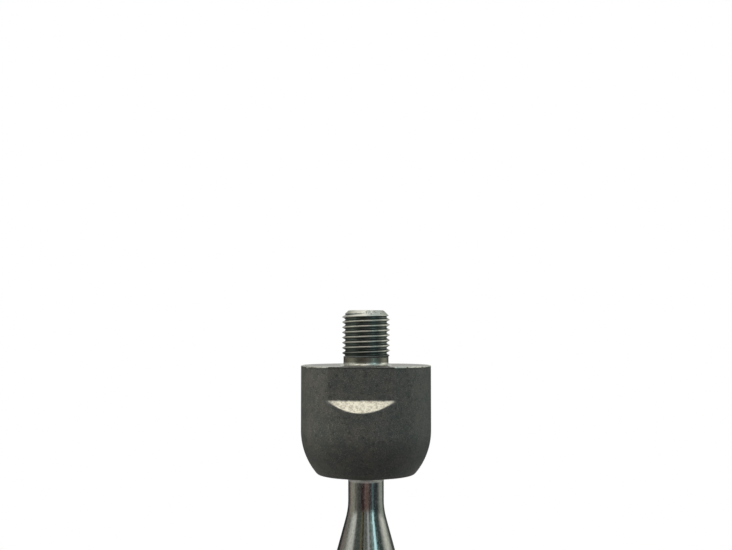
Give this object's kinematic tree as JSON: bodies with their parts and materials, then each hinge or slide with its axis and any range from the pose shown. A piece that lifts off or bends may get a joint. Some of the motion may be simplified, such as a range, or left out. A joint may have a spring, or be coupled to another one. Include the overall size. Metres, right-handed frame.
{
  "type": "inner tie rod",
  "caption": "Axial steering tie rod: a forged ball socket with a threaded rack stud and wrench flats, and a swinging rod with a necked cone, boot seat, outer thread and jam nut.",
  "frame": {"origin": "centre of the socket housing's flat face that seats on the end of the rack, round the foot of the stud", "axes": "+Z along the rack stud, away from the rod; -Z along the straight rod towards its outer thread; +Y and -Y are the normals of the housing's two wrench flats"},
  "size_m": [0.038, 0.038, 0.2873],
  "materials": {
    "phosphated_steel": "dark grey phosphated and oiled forging, satin",
    "ground_steel": "bright ground and polished",
    "nut_steel": "dark grey phosphated",
    "spring_steel": "hardened, oiled",
    "bearing_plastic": "natural white acetal plastic",
    "grease": "amber lithium grease"
  },
  "bodies": {
    "socket": {"socket_housing": "phosphated_steel", "rear_bearing": "bearing_plastic", "front_bearing": "bearing_plastic"},
    "preload_stack": {"disc_spring": "spring_steel", "backing_washer": "spring_steel"},
    "grease": {"grease_film": "grease"},
    "rod": {"tie_rod": "ground_steel"},
    "nut": {"jam_nut": "nut_steel"}
  },
  "joints": [
    {"name": "swing_direction", "type": "hinge", "parent": "socket", "child": "preload_stack", "pos_m": [0, 0, -0.0222], "axis": [0, 0, 1], "continuous": true},
    {"name": "swing", "type": "hinge", "parent": "preload_stack", "child": "grease", "pos_m": [0, 0, -0.0222], "axis": [1, 0, 0], "range_deg": [-28, 28]},
    {"name": "rod_spin", "type": "hinge", "parent": "grease", "child": "rod", "pos_m": [0, 0, -0.0222], "axis": [0, 0, 1], "continuous": true},
    {"name": "nut_travel", "type": "slide", "parent": "rod", "child": "nut", "axis": [0, 0, -1], "range_m": [-0.003, 0.048]}
  ]
}
